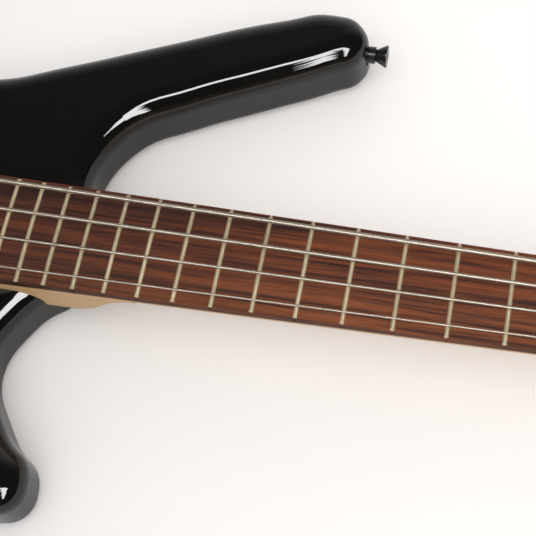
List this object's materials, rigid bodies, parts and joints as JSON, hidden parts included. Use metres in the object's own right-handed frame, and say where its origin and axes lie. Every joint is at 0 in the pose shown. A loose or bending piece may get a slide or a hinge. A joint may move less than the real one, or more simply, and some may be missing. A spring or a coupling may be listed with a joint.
{
  "type": "electric bass guitar",
  "caption": "Solid-body electric bass guitar lying on its back, with a bolted neck, wound strings, geared tuners, adjustable saddles and turning knobs",
  "frame": {"origin": "On the flat back of the body, on the centre line, straight under the saddle line", "axes": "+X along the strings from the bridge to the headstock, +Y to the bass side, +Z out of the front"},
  "size_m": [1.1129, 0.3348, 0.0619],
  "materials": {
    "black_lacquer": "high-gloss black lacquer",
    "maple": "satin pale maple",
    "rosewood": "oiled rosewood with dark streaks",
    "fret_metal": "polished pale brass",
    "white_inlay": "white plastic",
    "nut_material": "polished black composite",
    "steel": "plain steel",
    "black_plastic": "satin black plastic",
    "black_screws": "black oxide",
    "black_metal": "gloss black plating",
    "coil_wrap": "taped and potted coil",
    "foam": "foam pad",
    "lead_sheath": "grey sheath",
    "string_steel": "round-wound steel",
    "gear_brass": "bare brass",
    "knob_black": "satin black"
  },
  "bodies": {
    "instrument": {"body": "black_lacquer", "neck": "maple", "fingerboard": "rosewood", "frets": "fret_metal", "side_dots": "white_inlay", "nut": "nut_material", "truss_rod": "steel", "pot_casings": "steel", "pot_nuts": "steel", "jack_nut": "steel", "truss_rod_cover": "black_plastic", "control_cover": "black_plastic", "pickup_cover_neck": "black_plastic", "pickup_cover_bridge": "black_plastic", "neck_screws": "black_screws", "strap_button_screws": "black_screws", "bridge_screws": "black_screws", "pickup_screws": "black_screws", "plate_screws": "black_screws", "neck_ferrules": "black_metal", "strap_buttons": "black_metal", "bridge_base": "black_metal", "tuner_plates": "black_metal", "tuner_bushings": "black_metal", "output_jack": "black_metal", "pickup_coils": "coil_wrap", "pickup_foams": "foam", "wiring": "lead_sheath", "string_e": "string_steel", "string_a": "string_steel", "string_d": "string_steel", "string_g": "string_steel"},
    "tuner_key_e_body": {"tuner_key_e": "black_metal"},
    "tuner_post_e_body": {"tuner_post_e": "black_metal", "tuner_gear_e": "gear_brass"},
    "tuner_key_a_body": {"tuner_key_a": "black_metal"},
    "tuner_post_a_body": {"tuner_post_a": "black_metal", "tuner_gear_a": "gear_brass"},
    "tuner_key_d_body": {"tuner_key_d": "black_metal"},
    "tuner_post_d_body": {"tuner_post_d": "black_metal", "tuner_gear_d": "gear_brass"},
    "tuner_key_g_body": {"tuner_key_g": "black_metal"},
    "tuner_post_g_body": {"tuner_post_g": "black_metal", "tuner_gear_g": "gear_brass"},
    "knob_volume_neck_body": {"knob_volume_neck": "knob_black"},
    "knob_volume_bridge_body": {"knob_volume_bridge": "knob_black"},
    "knob_tone_body": {"knob_tone": "knob_black"},
    "saddle_e_body": {"saddle_e": "black_metal", "height_screws_e": "black_screws"},
    "intonation_e_body": {"intonation_screw_e": "black_screws"},
    "saddle_a_body": {"saddle_a": "black_metal", "height_screws_a": "black_screws"},
    "intonation_a_body": {"intonation_screw_a": "black_screws"},
    "saddle_d_body": {"saddle_d": "black_metal", "height_screws_d": "black_screws"},
    "intonation_d_body": {"intonation_screw_d": "black_screws"},
    "saddle_g_body": {"saddle_g": "black_metal", "height_screws_g": "black_screws"},
    "intonation_g_body": {"intonation_screw_g": "black_screws"},
    "truss_rod_nut_body": {"truss_rod_nut": "steel"}
  },
  "joints": [
    {"name": "key_e_turn", "type": "hinge", "parent": "instrument", "child": "tuner_key_e_body", "pos_m": [0.92855, 0.02, 0.02088], "axis": [0, 1, 0], "continuous": true},
    {"name": "post_e_turn", "type": "hinge", "parent": "instrument", "child": "tuner_post_e_body", "pos_m": [0.9204, 0.02, 0.04257], "axis": [0.0872, 0, 0.9962], "continuous": true},
    {"name": "key_a_turn", "type": "hinge", "parent": "instrument", "child": "tuner_key_a_body", "pos_m": [0.98234, 0.017, 0.01617], "axis": [0, 1, 0], "continuous": true},
    {"name": "post_a_turn", "type": "hinge", "parent": "instrument", "child": "tuner_post_a_body", "pos_m": [0.9742, 0.017, 0.03786], "axis": [0.0872, 0, 0.9962], "continuous": true},
    {"name": "key_d_turn", "type": "hinge", "parent": "instrument", "child": "tuner_key_d_body", "pos_m": [0.98234, -0.017, 0.01617], "axis": [0, 1, 0], "continuous": true},
    {"name": "post_d_turn", "type": "hinge", "parent": "instrument", "child": "tuner_post_d_body", "pos_m": [0.9742, -0.017, 0.03786], "axis": [0.0872, 0, 0.9962], "continuous": true},
    {"name": "key_g_turn", "type": "hinge", "parent": "instrument", "child": "tuner_key_g_body", "pos_m": [0.92855, -0.02, 0.02088], "axis": [0, 1, 0], "continuous": true},
    {"name": "post_g_turn", "type": "hinge", "parent": "instrument", "child": "tuner_post_g_body", "pos_m": [0.9204, -0.02, 0.04257], "axis": [0.0872, 0, 0.9962], "continuous": true},
    {"name": "volume_neck_turn", "type": "hinge", "parent": "instrument", "child": "knob_volume_neck_body", "pos_m": [0.078, -0.102, 0.04], "axis": [0, 0, 1], "range_deg": [-150, 150]},
    {"name": "volume_bridge_turn", "type": "hinge", "parent": "instrument", "child": "knob_volume_bridge_body", "pos_m": [0.048, -0.102, 0.04], "axis": [0, 0, 1], "range_deg": [-150, 150]},
    {"name": "tone_turn", "type": "hinge", "parent": "instrument", "child": "knob_tone_body", "pos_m": [0.018, -0.102, 0.04], "axis": [0, 0, 1], "range_deg": [-150, 150]},
    {"name": "intonation_e_turn", "type": "hinge", "parent": "instrument", "child": "intonation_e_body", "pos_m": [-0.03, 0.0285, 0.0446], "axis": [1, 0, 0], "range_deg": [-4320, 0]},
    {"name": "saddle_e_slide", "type": "slide", "parent": "instrument", "child": "saddle_e_body", "axis": [1, 0, 0], "range_m": [0, 0.006]},
    {"name": "intonation_a_turn", "type": "hinge", "parent": "instrument", "child": "intonation_a_body", "pos_m": [-0.03, 0.0095, 0.0446], "axis": [1, 0, 0], "range_deg": [-4320, 0]},
    {"name": "saddle_a_slide", "type": "slide", "parent": "instrument", "child": "saddle_a_body", "axis": [1, 0, 0], "range_m": [0, 0.006]},
    {"name": "intonation_d_turn", "type": "hinge", "parent": "instrument", "child": "intonation_d_body", "pos_m": [-0.03, -0.0095, 0.0446], "axis": [1, 0, 0], "range_deg": [-4320, 0]},
    {"name": "saddle_d_slide", "type": "slide", "parent": "instrument", "child": "saddle_d_body", "axis": [1, 0, 0], "range_m": [0, 0.006]},
    {"name": "intonation_g_turn", "type": "hinge", "parent": "instrument", "child": "intonation_g_body", "pos_m": [-0.03, -0.0285, 0.0446], "axis": [1, 0, 0], "range_deg": [-4320, 0]},
    {"name": "saddle_g_slide", "type": "slide", "parent": "instrument", "child": "saddle_g_body", "axis": [1, 0, 0], "range_m": [0, 0.006]},
    {"name": "truss_rod_nut_turn", "type": "hinge", "parent": "instrument", "child": "truss_rod_nut_body", "pos_m": [0.8736, 0, 0.0403], "axis": [1, 0, 0], "range_deg": [-360, 360]}
  ],
  "couplings": [
    {"joint": "post_e_turn", "follows": "key_e_turn", "ratio": -0.05},
    {"joint": "post_a_turn", "follows": "key_a_turn", "ratio": -0.05},
    {"joint": "post_d_turn", "follows": "key_d_turn", "ratio": 0.05},
    {"joint": "post_g_turn", "follows": "key_g_turn", "ratio": 0.05},
    {"joint": "intonation_e_turn", "follows": "saddle_e_slide", "rad_per_m": -12566},
    {"joint": "intonation_a_turn", "follows": "saddle_a_slide", "rad_per_m": -12566},
    {"joint": "intonation_d_turn", "follows": "saddle_d_slide", "rad_per_m": -12566},
    {"joint": "intonation_g_turn", "follows": "saddle_g_slide", "rad_per_m": -12566}
  ]
}
